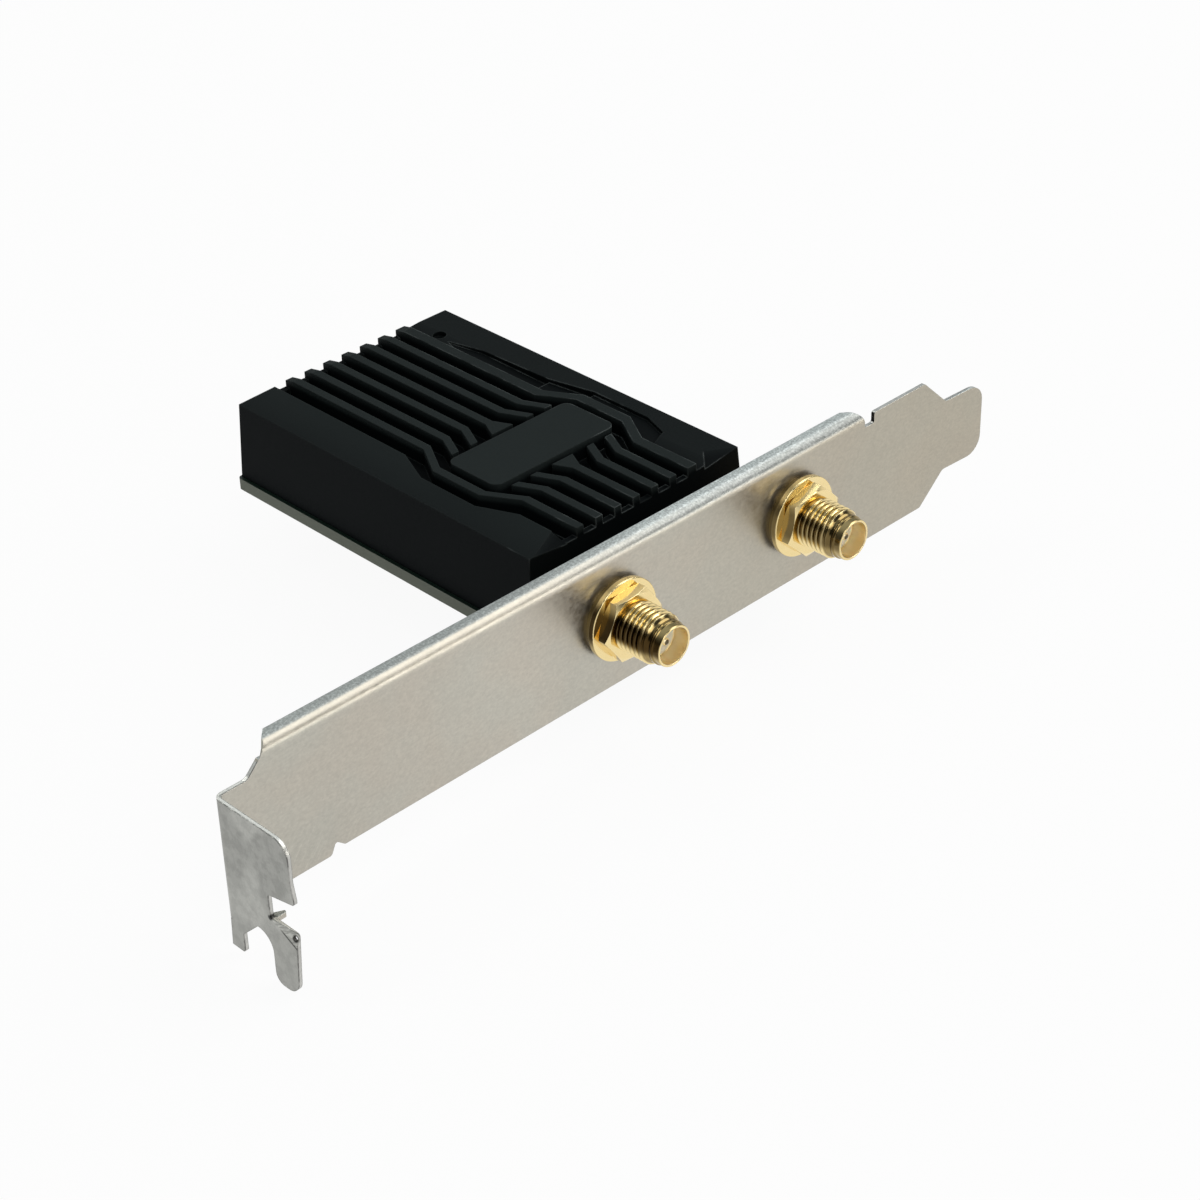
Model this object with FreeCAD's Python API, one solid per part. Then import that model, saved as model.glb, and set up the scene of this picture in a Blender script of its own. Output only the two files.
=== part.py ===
import FreeCAD, Part
import math
import os

# A wireless network card for a desktop computer's expansion slot.
# A folded sheet bracket carries a small circuit board square to it, clamped by two
# coaxial aerial jacks. A die-cast heat sink covers the board and cools the radio.
#
# Everything is drawn in the bracket's frame, in millimetres:
# x runs along the bracket from the outer face of its lip to the tip of its tongue,
# y runs from the bracket's outer face along the card, z runs up from the plate's lower edge.
# place() then moves it all so that the origin is the centre of the footprint.

# Bracket sheet
bracket_length = 121.5
plate_width = 18.42
sheet = 0.5
bend_inner = 0.6
roll_inner = 0.96
flange_depth = 2.25
flange_start_near = 5.9
flange_start = 6.6
flange_start_far = 8.3
flange_end_taper = 2.2
flange_end_radius = 1.5
middle_low = 0.5
left_top = 15.25
left_slant_start = 4.15
left_slant_end = 7.26
slant_radius = 0.8
relief_steep_run = 0.7
relief_slope_run = 1.2
relief_height = 1.5
relief_radius = 0.3
relief_foot_radius = 0.5
left_relief = 14.5
right_relief_from_tip = 21.9
notch_from_tip = 20.45
notch_width = 1.7
notch_floor = 16.3
notch_radius = 0.3
right_top = 17.72
tongue_reach = 10.9
shoulder_run = 4.0
shoulder_radius = 0.4
tongue_low = 3.95
tongue_width = 9.85
tongue_radius = 2.4
tongue_root_radius = 0.8
tongue_bend = 0.55

# Lip with its arch, ear and screw slot
lip_depth = 11.4
lip_top = 15.25
lip_corner_depth = 11.15
lip_corner_radius = 2.0
lip_waist_depth = 11.05
lip_waist_height = 10.4
lip_waist_radius = 3.0
spike_high = 8.35
spike_low = 7.85
spike_radius = 0.25
slot_end = 7.15
slot_end_high = 6.95
slot_low = 3.95
slot_radius = 0.3
slot_bevel_drop = 2.05
ear_top_depth = 11.35
ear_foot_depth = 10.7
ear_foot = -4.37
ear_inner_radius = 1.2
ear_outer_radius = 1.8
arch_inner = 2.1
arch_outer = 7.15
arch_top = 1.5
arch_radius = 2.15
arch_slant_foot = -1.2
arch_slant_radius = 0.4
arch_peak_depth = 4.86
arch_peak_radius = 0.2
leg_foot = -3.6
leg_lean = 0.2
pierce_radius = 0.3
pierce_inset = 0.5
pierce_drop = 0.75
bend_merge = -0.24
tooth_reach = 1.46
tooth_width = 1.1
tooth_tip = 0.37
tooth_setback = 0.28
tooth_drop = 0.2
tooth_radius = 0.12
tooth_thickness = 0.6

# Circuit board
board_low = 4.0
board_thickness = 1.57
board_left = 50.65
board_width = 40.55
board_far = 61.5
board_gap = 0.25
board_corner = 0.6
tab_length = 7.3
tab_far = 60.0
tab_long_part = 11.65
tab_key = 1.9
tab_short_part = 7.65
tab_bevel = 0.45
tab_corner = 0.5
key_depth = 6.1
key_radius = 0.8
contact_pitch = 1.0
contact_width = 0.7
contact_length = 4.2
contact_thickness = 0.05
contact_setback = 0.9
long_part_count = 11
short_part_count = 7

# Heat sink walls and shoulders
sink_left_gap = 1.2
sink_right_gap = 4.85
sink_front = 8.85
sink_far = 61.2
sink_wall_top = 15.67
side_draft = 0.7
front_draft = 0.55
shoulder_rise = 0.18
right_slope_run = 2.4
facet_drop = 0.75
facet_depth = 2.35
facet_overhang = 0.5
left_facet_gap = 0.1
right_facet_run = 3.6
right_facet_gap = 0.9

# Heat sink fins, which part round a raised plate
fin_top = 16.4
fin_count_each_side = 3
fin_pitch = 3.06
fin_width = 1.13
outer_fin_width = 1.5
fin_bow = 2.65
fin_turn = 1.6
fin_flare = 1.15
flare_run = 2.4
bed_depth = 2.3
end_dam_depth = 1.2
end_dam = 0.8
end_bevel_run = 1.6
end_bevel_drop = 0.35
bow_far = 8.6
bow_near = 4.0
shoulder_bow = 2.2
shoulder_bow_far = 10.0
shoulder_bow_near = 4.7
groove_width = 1.75
badge_length = 19.9
badge_depth = 8.6
badge_y = 26.5
badge_rise = 0.15
badge_corner = 1.2
badge_gap = 0.9

# Hollow beside the right outer fin
recess_depth = 1.0
recess_end_depth = 0.25
recess_step = 0.45
recess_far_gap = 6.6
recess_end_run = 2.5
recess_end_width = 1.6
recess_taper_run = 14.0
recess_taper_width = 2.9
recess_shelf_run = 2.6
recess_shelf_width = 3.4
recess_bow_width = 2.3
recess_near_width = 3.6
recess_near_run = 1.4
pit_radius = 0.9
pit_depth = 0.7
pit_gap = 4.6
pit_side = 2.0

# Heat sink inside
cavity_wall = 1.6
cavity_roof = 1.2
post_radius = 2.3
post_inset = 3.3
thread_hole_radius = 1.0
thread_hole_depth = 6.0

# Heat sink screws
screw_clearance = 0.25
screw_head_radius = 1.9
screw_head_height = 1.1
screw_head_round = 0.35
screw_length = 6.6
recess_arm = 1.1
recess_arm_width = 0.44
recess_arm_depth = 0.55

# Radio under its shield
shield_left_gap = 17.15
shield_y = 35.0
shield_length = 24.0
shield_width = 20.0
shield_height = 1.9
shield_sheet = 0.2
fence_thickness = 0.4
chip_size = 9.0
chip_height = 0.9
chip_pad_size = 8.0
front_chip_size = 4.0
front_chip_height = 0.8
front_chip_spacing = 10.5
front_chip_back = 8.2
crystal_length = 3.2
crystal_width = 2.5
crystal_height = 0.7
crystal_side = 7.5
pad_size = 15.0
pad_thickness = 0.8

# Power parts beyond the shield
power_y = 53.5
inductor_size = 5.0
inductor_height = 2.8
inductor_side = 4.5
regulator_size = 3.0
regulator_height = 0.9
regulator_side = 4.0
capacitor_length = 2.0
capacitor_width = 1.25
capacitor_height = 1.1
capacitor_pitch = 3.0
capacitor_count = 5
capacitor_y = 49.6

# Aerial jacks, which stand on the board and pass through the plate
jack_near_gap = 5.97
jack_far_gap = 4.27
jack_z = 9.9
shank_radius = 3.0
thread_radius = 3.175
thread_core = 2.8
thread_pitch = 0.7056
thread_end = 7.45
crest_share = 0.08
neck_radius = 2.72
neck_step = 8.3
nose_radius = 2.57
nose_bevel = 0.12
jack_reach = 9.2
bore_radius = 2.26
bore_depth = 2.2
block_width = 8.0
block_rise = 4.0
block_depth = 5.96
block_round = 0.3
block_back = 0.8
leg_radius = 0.65
leg_spread = 2.54
leg_inset = 0.6
leg_clearance = 0.1
leg_stub = 1.1
core_radius = 2.05
contact_radius = 0.46
contact_bevel = 0.22
pin_radius = 0.3
pin_recess = 1.1
panel_clearance = 0.12
lock_washer_radius = 4.75
lock_washer_thickness = 0.8
lock_tooth_count = 10
lock_tooth_gap = 0.6
lock_tooth_depth = 0.7
washer_radius = 5.15
washer_thickness = 0.7
washer_round = 0.15
nut_flats = 8.0
nut_thickness = 1.7
nut_chamfer = 0.6
nut_chamfer_slope = 30.0
nut_angles = {"jack_near": 5.0, "jack_far": 16.0}

# How far cutters reach past what they cut, and how deep raised features are rooted
over = 1.0
embed = 0.2

# Derived places
shoulder_x = bracket_length - tongue_reach
notch_right = bracket_length - notch_from_tip
notch_left = notch_right - notch_width
right_relief = bracket_length - right_relief_from_tip
flange_end_far = notch_left - flange_end_taper
board_right = board_left + board_width
board_top = board_low + board_thickness
tab_reach = board_right + tab_length
sink_left = board_left + sink_left_gap
sink_right = board_right - sink_right_gap
jack_near_x = board_left + jack_near_gap
jack_far_x = board_right - jack_far_gap
bend_outer = bend_inner + sheet
roll_outer = roll_inner + sheet
flange_bend = plate_width - roll_outer
sink_middle = (sink_left + sink_right) / 2
shield_x = sink_left + shield_left_gap
bed_floor = fin_top - bed_depth
roof_underside = bed_floor - cavity_roof
shield_top = board_top + shield_height
pad_top = shield_top + pad_thickness
washer_back = -lock_washer_thickness
nut_back = washer_back - washer_thickness
nut_front = nut_back - nut_thickness
jack_places = {"jack_near": jack_near_x, "jack_far": jack_far_x}


def place(shape):
    """The shape in the row's frame, with the origin at the footprint's centre."""
    moved = shape.copy()
    moved.translate(FreeCAD.Vector(-bracket_length / 2, (lip_depth - board_far) / 2, -ear_foot))
    return moved


def save(name, shape):
    """One STEP file per sub-part."""
    place(shape).exportStep("parts/" + name + ".step")


def box(x0, x1, y0, y1, z0, z1):
    """Box between two corners."""
    return Part.makeBox(x1 - x0, y1 - y0, z1 - z0, FreeCAD.Vector(x0, y0, z0))


def rod_y(x, z, radius, y0, y1):
    """Cylinder along y."""
    return Part.makeCylinder(radius, y1 - y0, FreeCAD.Vector(x, y0, z), FreeCAD.Vector(0, 1, 0))


def rod_z(x, y, radius, z0, z1):
    """Cylinder along z."""
    return Part.makeCylinder(radius, z1 - z0, FreeCAD.Vector(x, y, z0), FreeCAD.Vector(0, 0, 1))


def centred_box(x, y, length, width, z0, z1):
    """Box about a point of the board."""
    return box(x - length / 2, x + length / 2, y - width / 2, y + width / 2, z0, z1)


def edges_at_y(shape, y):
    """The edges whose middle lies at one y."""
    return [edge for edge in shape.Edges if abs(edge.CenterOfMass.y - y) < 1e-6]


def edges_at_z(shape, z):
    """The edges whose middle lies at one z."""
    return [edge for edge in shape.Edges if abs(edge.CenterOfMass.z - z) < 1e-6]


def on_xy(u, v):
    return FreeCAD.Vector(u, v, 0)


def on_xz(u, v):
    return FreeCAD.Vector(u, 0, v)


def on_yz(u, v):
    return FreeCAD.Vector(0, u, v)


def rounded_face(corners, at):
    """Face inside the corners (u, v, radius), each radius a tangent arc."""
    count = len(corners)
    turns = []
    for i in range(count):
        u, v, radius = corners[i]
        before = corners[i - 1]
        after = corners[(i + 1) % count]
        corner = FreeCAD.Vector(u, v, 0)
        back = FreeCAD.Vector(before[0] - u, before[1] - v, 0).normalize()
        ahead = FreeCAD.Vector(after[0] - u, after[1] - v, 0).normalize()
        half = back.getAngle(ahead) / 2
        reach = radius / math.tan(half)
        inward = back + ahead
        if radius > 0:
            inward.normalize()
        middle = corner + inward * (radius / math.sin(half) - radius)
        turns.append((corner + back * reach, middle, corner + ahead * reach, radius))
    edges = []
    for i in range(count):
        start, middle, end, radius = turns[i]
        following = turns[(i + 1) % count][0]
        if radius > 0:
            arc = Part.Arc(at(start.x, start.y), at(middle.x, middle.y), at(end.x, end.y))
            edges.append(arc.toShape())
        if end.distanceToPoint(following) > 1e-6:
            line = Part.LineSegment(at(end.x, end.y), at(following.x, following.y))
            edges.append(line.toShape())
    return Part.Face(Part.Wire(edges))


def plan(corners, z0, z1):
    """Upright solid over an outline of (x, y, radius)."""
    face = rounded_face(corners, on_xy)
    face.translate(FreeCAD.Vector(0, 0, z0))
    return face.extrude(FreeCAD.Vector(0, 0, z1 - z0))


def front(corners, y0, y1):
    """Solid along y over an outline of (x, z, radius)."""
    face = rounded_face(corners, on_xz)
    face.translate(FreeCAD.Vector(0, y0, 0))
    return face.extrude(FreeCAD.Vector(0, y1 - y0, 0))


def side(corners, x0, x1):
    """Solid along x over an outline of (y, z, radius)."""
    face = rounded_face(corners, on_yz)
    face.translate(FreeCAD.Vector(x0, 0, 0))
    return face.extrude(FreeCAD.Vector(x1 - x0, 0, 0))


def sharp(points):
    """The points as corners with no rounding."""
    return [(u, v, 0) for u, v in points]


def lofted(x0, x1, y0, y1, z0, inset_x, inset_front, z1):
    """Drafted block: its top is smaller by an inset on both sides and at the front."""
    low = Part.makePolygon([FreeCAD.Vector(x0, y0, z0), FreeCAD.Vector(x1, y0, z0),
                            FreeCAD.Vector(x1, y1, z0), FreeCAD.Vector(x0, y1, z0),
                            FreeCAD.Vector(x0, y0, z0)])
    a = x0 + inset_x
    b = x1 - inset_x
    c = y0 + inset_front
    high = Part.makePolygon([FreeCAD.Vector(a, c, z1), FreeCAD.Vector(b, c, z1),
                             FreeCAD.Vector(b, y1, z1), FreeCAD.Vector(a, y1, z1),
                             FreeCAD.Vector(a, c, z1)])
    return Part.makeLoft([low, high], True, True)


def relief(x, low, high):
    """The small V at the lower edge where the plate's width changes, steep on its low side."""
    runs = [relief_steep_run, relief_slope_run]
    if low > high:
        runs.reverse()
    return [(x - runs[0], low, relief_foot_radius), (x, relief_height, relief_radius),
            (x + runs[1], high, relief_foot_radius)]


def plate_outline():
    """Outline of the plate, its flange and its tongue, seen from outside."""
    tongue_high = tongue_low + tongue_width
    tongue_root = shoulder_x + shoulder_run
    low = [(bend_outer, 0, 0)]
    low += relief(left_relief, 0, middle_low)
    low += relief(right_relief, middle_low, 0)
    tongue = [(shoulder_x, 0, shoulder_radius), (tongue_root, tongue_low, tongue_root_radius),
              (bracket_length, tongue_low, tongue_radius),
              (bracket_length, tongue_high, tongue_radius),
              (tongue_root, tongue_high, tongue_root_radius),
              (shoulder_x, right_top, shoulder_radius)]
    notch = [(notch_right, right_top, notch_radius), (notch_right, notch_floor, notch_radius),
             (notch_left, notch_floor, notch_radius), (notch_left, plate_width, flange_end_radius)]
    left = [(left_slant_end, plate_width, 0), (left_slant_start, left_top, slant_radius),
            (bend_outer, left_top, 0)]
    return low + tongue + notch + left


def lip_outline():
    """Outline of the lip with its arch, ear and screw slot, as (y, z, radius)."""
    return [(bend_merge + leg_lean, leg_foot, 0), (-arch_inner, leg_foot, slot_radius),
            (-arch_inner, arch_slant_foot, arch_slant_radius),
            (-arch_peak_depth, arch_top, arch_peak_radius), (-arch_outer, arch_top, arch_radius),
            (-arch_outer, ear_foot, ear_inner_radius), (-ear_foot_depth, ear_foot, ear_outer_radius),
            (-ear_top_depth, slot_low, slot_radius), (-slot_end, slot_low, slot_radius),
            (-slot_end, slot_end_high, slot_radius), (-lip_depth, spike_low, spike_radius),
            (-lip_depth, spike_high, spike_radius),
            (-lip_waist_depth, lip_waist_height, lip_waist_radius),
            (-lip_corner_depth, lip_top, lip_corner_radius), (-bend_inner, lip_top, 0),
            (-bend_inner, 0, 0), (bend_merge, 0, 0)]


def make_bracket():
    """The whole folded sheet: plate, tongue, flange and lip."""
    tip = bracket_length
    profile = sharp([(bend_outer, 0), (shoulder_x, 0), (tip, -tongue_bend),
                     (tip, sheet - tongue_bend), (shoulder_x, sheet), (bend_outer, sheet)])
    outline = front(plate_outline(), -tongue_bend - over, flange_depth + over)
    plate = plan(profile, -over, plate_width + over).common(outline)
    notch_middle = (notch_left + notch_right) / 2
    plate = plate.cut(box(0, notch_middle, -over, sheet + over, flange_bend, plate_width + over))

    axis = FreeCAD.Vector(0, roll_outer, flange_bend)
    along = FreeCAD.Vector(1, 0, 0)
    roll = Part.makeCylinder(roll_outer, notch_left, axis, along)
    roll = roll.cut(Part.makeCylinder(roll_inner, notch_left, axis, along))
    roll = roll.common(box(0, notch_left, 0, roll_outer, flange_bend, plate_width))
    shelf = box(0, notch_left, roll_outer, flange_depth, plate_width - sheet, plate_width)
    left_cut = sharp([(0, 0), (flange_start_near, 0), (flange_start, sheet),
                      (flange_start_far, flange_depth), (flange_start_far, flange_depth + over),
                      (0, flange_depth + over)])
    right_cut = sharp([(notch_left, sheet), (notch_left + over, sheet),
                       (notch_left + over, flange_depth + over),
                       (flange_end_far, flange_depth + over), (flange_end_far, flange_depth)])
    flange = roll.fuse(shelf).common(outline)
    for cut in (left_cut, right_cut):
        flange = flange.cut(plan(cut, flange_bend, plate_width + over))

    corner = FreeCAD.Vector(bend_outer, -bend_inner, 0)
    bend = Part.makeCylinder(bend_outer, left_top, corner)
    bend = bend.cut(Part.makeCylinder(bend_inner, left_top, corner))
    bend = bend.common(box(0, bend_outer, -bend_inner, sheet, 0, left_top))
    lip = side(lip_outline(), 0, sheet).cut(slot_bevel())
    bracket = plate.fuse([flange, bend, lip, make_tooth()])
    for name in jack_places:
        hole = rod_y(jack_places[name], jack_z, thread_radius + panel_clearance, -over, sheet + over)
        bracket = bracket.cut(hole)
    return bracket.removeSplitter()


def slot_bevel():
    """Cutter for the ear's upper edge, pressed back more and more towards its end."""
    outer_y = -ear_top_depth - slot_radius
    inner = FreeCAD.Vector(0, -slot_end, slot_low)
    low = FreeCAD.Vector(0, outer_y, slot_low - slot_bevel_drop)
    back = FreeCAD.Vector(sheet, outer_y, slot_low)
    high = FreeCAD.Vector(0, outer_y, slot_low + slot_radius)
    triangles = [(low, back, high), (low, high, inner), (back, inner, high), (low, inner, back)]
    faces = []
    for a, b, c in triangles:
        faces.append(Part.Face(Part.makePolygon([a, b, c, a])))
    wedge = Part.Solid(Part.Shell(faces))
    hole_y = -ear_top_depth + pierce_inset
    hole_z = slot_low - pierce_drop
    hole = Part.makeCylinder(pierce_radius, sheet + over, FreeCAD.Vector(0, hole_y, hole_z),
                             FreeCAD.Vector(1, 0, 0))
    return wedge.fuse(hole)


def make_tooth():
    """The small pointed tooth behind the inner end of the screw slot."""
    y0 = -slot_end - tooth_setback
    z1 = slot_low - tooth_drop
    outline = [(sheet, y0, 0), (sheet + tooth_reach, y0, spike_radius),
               (sheet + tooth_reach, y0 + tooth_tip, tooth_radius),
               (sheet, y0 + tooth_width, 0)]
    return plan(outline, z1 - tooth_thickness, z1)


def tab_edges():
    """The y places of the edge contact's two parts and the key between them."""
    long_start = tab_far - tab_short_part - tab_key - tab_long_part
    long_end = long_start + tab_long_part
    short_start = long_end + tab_key
    return long_start, long_end, short_start


def make_board():
    """Circuit board with its edge contact tab, jack holes and screw holes."""
    long_start, long_end, short_start = tab_edges()
    near = sheet + board_gap
    key_floor = tab_reach - key_depth
    outline = [(board_left, near, board_corner), (board_right, near, board_corner),
               (board_right, long_start, tab_corner), (tab_reach, long_start, tab_corner),
               (tab_reach, long_end, tab_corner), (key_floor, long_end, key_radius),
               (key_floor, short_start, key_radius), (tab_reach, short_start, tab_corner),
               (tab_reach, tab_far, tab_corner), (board_right, tab_far, 0),
               (board_right, board_far, board_corner), (board_left, board_far, board_corner)]
    board = plan(outline, board_low, board_top)
    bevel_start = tab_reach - 2 * tab_bevel
    for face, inner in ((board_top, board_top - tab_bevel), (board_low, board_low + tab_bevel)):
        wedge = sharp([(bevel_start, face), (tab_reach, face), (tab_reach, inner)])
        board = board.cut(front(wedge, long_start - over, tab_far + over))
    holes = []
    for x, y in screw_places():
        holes.append((x, y, thread_hole_radius + screw_clearance))
    for name in jack_places:
        for x, y in leg_places(jack_places[name]):
            holes.append((x, y, leg_radius + leg_clearance))
        holes.append((jack_places[name], pin_down_y(), pin_radius + leg_clearance))
    for x, y, radius in holes:
        board = board.cut(rod_z(x, y, radius, board_low - over, board_top + over))
    return board


def make_contacts():
    """The gold pads on both faces of the tab, as one group."""
    long_start, long_end, short_start = tab_edges()
    rows = [(long_start + (tab_long_part - (long_part_count - 1) * contact_pitch) / 2,
             long_part_count),
            (short_start + (tab_short_part - (short_part_count - 1) * contact_pitch) / 2,
             short_part_count)]
    x1 = tab_reach - contact_setback
    x0 = x1 - contact_length
    pads = []
    for first, count in rows:
        for i in range(count):
            y = first + i * contact_pitch
            y0 = y - contact_width / 2
            y1 = y + contact_width / 2
            pads.append(box(x0, x1, y0, y1, board_top, board_top + contact_thickness))
            pads.append(box(x0, x1, y0, y1, board_low - contact_thickness, board_low))
    return Part.makeCompound(pads)


def screw_places():
    """The four heat sink screws."""
    xs = (sink_left + post_inset, sink_right - post_inset)
    ys = (sink_front + post_inset, sink_far - post_inset)
    return [(x, y) for x in xs for y in ys]


def bowed(x, shift, far_y, near_y):
    """Path along -y that steps aside by shift round the raised plate, as (x, y) points."""
    return [(x, sink_far + over), (x, badge_y + far_y), (x + shift, badge_y + near_y),
            (x + shift, badge_y - near_y), (x, badge_y - far_y), (x, sink_front - 2 * over)]


def band(left_path, right_path, z0, z1):
    """Upright solid between two paths that both run along -y."""
    return plan(sharp(left_path + right_path[::-1]), z0, z1)


def fin_centre(index):
    return sink_middle + index * fin_pitch


def outer_fin_paths(index):
    """Both edges of an outermost fin, which bows out round the badge."""
    half = fin_width / 2
    centre = fin_centre(index)
    shift = math.copysign(fin_bow, index)
    left = centre - half
    right = centre + half
    if index > 0:
        right = left + outer_fin_width
    return bowed(left, shift, bow_far, bow_near), bowed(right, shift, bow_far, bow_near)


def inner_fin(index, direction):
    """Fin that ends at the raised plate, on its far side (1) or near side (-1)."""
    half = fin_width / 2
    centre = fin_centre(index)
    end = sink_far + over if direction > 0 else sink_front - 2 * over
    stop = badge_y + direction * (badge_depth / 2 + badge_gap)
    if index:
        turned = centre + math.copysign(fin_turn, index)
        reach = half
        kink = badge_y + direction * bow_far
    else:
        turned = centre
        reach = half + fin_flare
        kink = stop + direction * flare_run
    points = [(centre - half, end), (centre - half, kink), (turned - reach, stop),
              (turned + reach, stop), (centre + half, kink), (centre + half, end)]
    return plan(sharp(points), bed_floor - embed, fin_top)


def make_badge():
    """The bare raised plate in the middle of the fins."""
    x0 = sink_middle - badge_length / 2
    x1 = sink_middle + badge_length / 2
    y0 = badge_y - badge_depth / 2
    y1 = badge_y + badge_depth / 2
    corners = [(x0, y0, badge_corner), (x1, y0, badge_corner), (x1, y1, badge_corner),
               (x0, y1, badge_corner)]
    return plan(corners, bed_floor - embed, fin_top + badge_rise)


def sink_envelope(top):
    """Drafted outer form of the heat sink, carried up to a given height."""
    height = sink_wall_top - board_top
    share = (top - board_top) / height
    return lofted(sink_left - side_draft, sink_right + side_draft, sink_front - front_draft,
                  sink_far, board_top, side_draft * share, front_draft * share, top)


def shoulder_body():
    """The block under the shoulders, rising gently towards the fins on the left."""
    inner = fin_centre(-fin_count_each_side) - fin_width / 2 - groove_width
    right_inner = fin_centre(fin_count_each_side) + fin_width
    x0 = sink_left - 2 * over
    x1 = sink_right + 2 * over
    profile = sharp([(x0, board_top), (x1, board_top), (x1, sink_wall_top),
                     (right_inner + right_slope_run, sink_wall_top),
                     (right_inner, sink_wall_top - shoulder_rise), (sink_middle, sink_wall_top),
                     (inner, sink_wall_top + shoulder_rise), (sink_left, sink_wall_top),
                     (x0, sink_wall_top)])
    block = front(profile, sink_front - 2 * over, sink_far)
    return block.common(sink_envelope(sink_wall_top + 2 * shoulder_rise))


def front_facet(corner_x, top_x, low_x):
    """Cutter for the sloping facet at a front corner."""
    y = sink_front - facet_overhang
    a = FreeCAD.Vector(corner_x, y, sink_wall_top)
    b = FreeCAD.Vector(top_x, sink_front + facet_depth, sink_wall_top)
    c = FreeCAD.Vector(low_x, y, sink_wall_top - facet_drop)
    face = Part.Face(Part.makePolygon([a, b, c, a]))
    return face.extrude(FreeCAD.Vector(0, 0, 4 * over))


def recess_cutter():
    """The long hollow beside the right outermost fin, with its stepped floor."""
    fin_edge = outer_fin_paths(fin_count_each_side)[1]
    x = fin_edge[0][0]
    bow_x = fin_edge[2][0]
    far_end = sink_far - recess_far_gap
    near_end = badge_y - bow_far - recess_near_run
    shelf = badge_y + bow_far + recess_shelf_run
    taper = badge_y + bow_far + recess_taper_run
    edge = [(x, near_end), (x + recess_near_width, badge_y - bow_far),
            (bow_x + recess_bow_width, badge_y - shoulder_bow_near),
            (bow_x + recess_bow_width, badge_y + shoulder_bow_near),
            (x + recess_shelf_width, shelf), (x + recess_taper_width, taper),
            (x + recess_end_width, far_end)]
    inner = [(x + recess_end_width / 2, far_end - recess_end_run), (x, taper),
             (x, badge_y + bow_far), (bow_x, badge_y + bow_near), (bow_x, badge_y - bow_near),
             (x, badge_y - bow_far)]
    top = sink_wall_top + over / 2
    low = sink_wall_top - recess_depth
    step_near = badge_y + shoulder_bow_near
    floor = sharp([(near_end - over, low + recess_step), (near_end - over, top),
                   (far_end + over, top), (far_end + over, sink_wall_top - recess_end_depth),
                   (shelf, low), (shelf, low + recess_step), (step_near, low),
                   (step_near, low + recess_step)])
    outline = plan(sharp(edge + inner), bed_floor, top)
    return outline.common(side(floor, sink_middle, sink_right + over))


def make_heat_sink():
    """The cover: walls, bed and fins, raised plate, recesses, posts and pedestal."""
    first = fin_centre(-fin_count_each_side) - fin_width / 2
    shoulder_path = bowed(first - groove_width, -shoulder_bow, shoulder_bow_far, shoulder_bow_near)
    left_outer = outer_fin_paths(-fin_count_each_side)
    right_outer = outer_fin_paths(fin_count_each_side)
    right_edge = right_outer[1][0][0]
    top = fin_top + over
    deep = band(shoulder_path, right_outer[1], bed_floor, top)
    inside = box(sink_left, sink_right, sink_front + end_dam, sink_far - end_dam, bed_floor, top)
    shallow = band(shoulder_path, right_outer[1], fin_top - end_dam_depth, top)
    body = shoulder_body().cut(deep.common(inside)).cut(shallow)

    fins = [band(left_outer[0], left_outer[1], bed_floor - embed, fin_top),
            band(right_outer[0], right_outer[1], bed_floor - embed, fin_top)]
    for index in range(1 - fin_count_each_side, fin_count_each_side):
        fins.append(inner_fin(index, 1))
        fins.append(inner_fin(index, -1))
    bevel = side(sharp([(sink_far - end_bevel_run, fin_top), (sink_far + over, fin_top + over),
                        (sink_far + over, fin_top - over), (sink_far, fin_top - end_bevel_drop)]),
                 sink_left, sink_right)
    comb = fins[0].fuse(fins[1:]).common(sink_envelope(fin_top)).cut(bevel)
    body = body.fuse([comb, make_badge()])

    body = body.cut(recess_cutter())
    body = body.cut(rod_z(right_edge + pit_side, sink_far - pit_gap, pit_radius,
                          sink_wall_top - pit_depth, top))
    left_x = first - groove_width + left_facet_gap
    body = body.cut(front_facet(sink_left - facet_overhang, left_x, left_x))
    body = body.cut(front_facet(sink_right + facet_overhang, right_edge + right_facet_run,
                                right_edge + right_facet_gap))
    body = body.cut(heat_sink_cavity())
    for x, y in screw_places():
        hole = rod_z(x, y, thread_hole_radius, board_top - over, board_top + thread_hole_depth)
        body = body.cut(hole)
    return body.removeSplitter()


def heat_sink_cavity():
    """The hollow under the roof, less the screw posts and the pedestal."""
    cavity = box(sink_left + cavity_wall, sink_right - cavity_wall, sink_front + cavity_wall,
                 sink_far - cavity_wall, board_top - over, roof_underside)
    pedestal = centred_box(shield_x, shield_y, pad_size, pad_size, pad_top, roof_underside)
    cavity = cavity.cut(pedestal)
    for x, y in screw_places():
        cavity = cavity.cut(rod_z(x, y, post_radius, board_top - over, roof_underside))
    return cavity


def make_sink_screws():
    """Four cross-recess screws up through the board into the heat sink's posts."""
    low = board_low - screw_head_height
    screws = []
    for x, y in screw_places():
        head = rod_z(x, y, screw_head_radius, low, board_low)
        head = head.makeFillet(screw_head_round, edges_at_z(head, low))
        shank = rod_z(x, y, thread_hole_radius, board_low, board_low + screw_length)
        length = centred_box(x, y, 2 * recess_arm, recess_arm_width, low, low + recess_arm_depth)
        width = centred_box(x, y, recess_arm_width, 2 * recess_arm, low, low + recess_arm_depth)
        screws.append(head.fuse(shank).cut(length.fuse(width)).removeSplitter())
    return Part.makeCompound(screws)


def make_shield_frame():
    """The soldered fence round the radio."""
    outer = centred_box(shield_x, shield_y, shield_width, shield_length, board_top,
                        shield_top - shield_sheet)
    inner = centred_box(shield_x, shield_y, shield_width - 2 * fence_thickness,
                        shield_length - 2 * fence_thickness, board_top, shield_top)
    return outer.cut(inner)


def make_shield_lid():
    """The flat lid on the fence."""
    return centred_box(shield_x, shield_y, shield_width, shield_length, shield_top - shield_sheet,
                       shield_top)


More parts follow.
